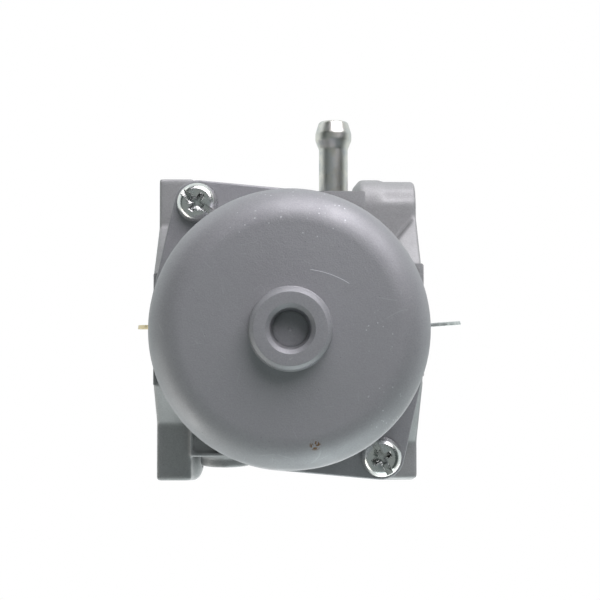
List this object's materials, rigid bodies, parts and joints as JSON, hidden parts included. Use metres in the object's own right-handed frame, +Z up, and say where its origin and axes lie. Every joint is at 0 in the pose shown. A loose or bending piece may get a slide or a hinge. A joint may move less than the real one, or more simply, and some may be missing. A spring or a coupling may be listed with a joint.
{
  "type": "carburetor",
  "caption": "Side-draught float carburetor with a round bowl below, butterfly throttle and choke, stud flanges at both ends and a barbed fuel inlet.",
  "frame": {"origin": "on the bore axis at the engine flange face", "axes": "+X out of the engine flange, the way the air runs; +Y the fuel inlet side; +Z up, the float bowl hangs below"},
  "size_m": [0.0783, 0.0846, 0.0854],
  "materials": {
    "cast": "satin die-cast zinc alloy, fine grained",
    "bowl": "matte die-cast zinc alloy, blasted",
    "zinc": "bright zinc plate",
    "steel": "plain steel",
    "brass": "machined brass",
    "gasket": "nitrile gasket",
    "seal": "felt and rubber seal",
    "viton": "brown valve rubber",
    "float": "hollow black plastic float"
  },
  "bodies": {
    "casting": {"carburetor_body": "cast", "float_bowl": "bowl", "bowl_gasket": "gasket", "bowl_screws": "zinc", "fuel_nipple": "zinc", "needle_seat": "brass", "main_nozzle": "brass", "main_jet": "brass", "pilot_jet": "brass", "main_air_jet": "brass", "pilot_air_jet": "brass", "float_pin": "steel", "throttle_shaft_seal": "seal", "choke_shaft_seal": "seal", "choke_stop_pin": "steel", "welch_plug": "zinc", "passage_plug": "brass", "idle_speed_spring": "steel", "idle_mixture_spring": "steel"},
    "throttle": {"throttle_shaft": "steel", "throttle_plate": "brass", "throttle_plate_screws": "brass", "throttle_lever": "zinc", "throttle_lock_washer": "zinc", "throttle_lever_nut": "zinc"},
    "choke": {"choke_shaft": "steel", "choke_plate": "steel", "choke_plate_screws": "brass", "choke_lever": "zinc", "choke_lever_clip": "steel"},
    "float_unit": {"float": "float", "float_hinge": "brass"},
    "needle": {"inlet_needle": "brass", "needle_tip": "viton", "needle_pin": "steel"},
    "idle_speed": {"idle_speed_screw": "zinc"},
    "idle_mixture": {"idle_mixture_screw": "brass"}
  },
  "joints": [
    {"name": "throttle_turn", "type": "hinge", "parent": "casting", "child": "throttle", "pos_m": [-0.0061, 0, 0], "axis": [0, 0, 1], "range_deg": [0, 82]},
    {"name": "choke_turn", "type": "hinge", "parent": "casting", "child": "choke", "pos_m": [-0.0564, 0, 0], "axis": [0, 0, -1], "range_deg": [-4, 76]},
    {"name": "float_swing", "type": "hinge", "parent": "casting", "child": "float_unit", "pos_m": [-0.0385, 0.018, -0.024], "axis": [-1, 0, 0], "range_deg": [0, 8]},
    {"name": "needle_slide", "type": "slide", "parent": "casting", "child": "needle", "axis": [0, 0, 1], "range_m": [0, 0.0009257]},
    {"name": "idle_speed_turn", "type": "hinge", "parent": "casting", "child": "idle_speed", "pos_m": [-0.015, -0.02, 0.0196], "axis": [0, -1, 0], "range_deg": [0, 720]},
    {"name": "idle_mixture_turn", "type": "hinge", "parent": "casting", "child": "idle_mixture", "pos_m": [-0.017, 0.01607, 0.01915], "axis": [0, 0.6428, 0.766], "range_deg": [-540, 540]}
  ],
  "couplings": [
    {"joint": "needle_slide", "follows": "float_swing", "m_per_rad": 0.0065}
  ]
}
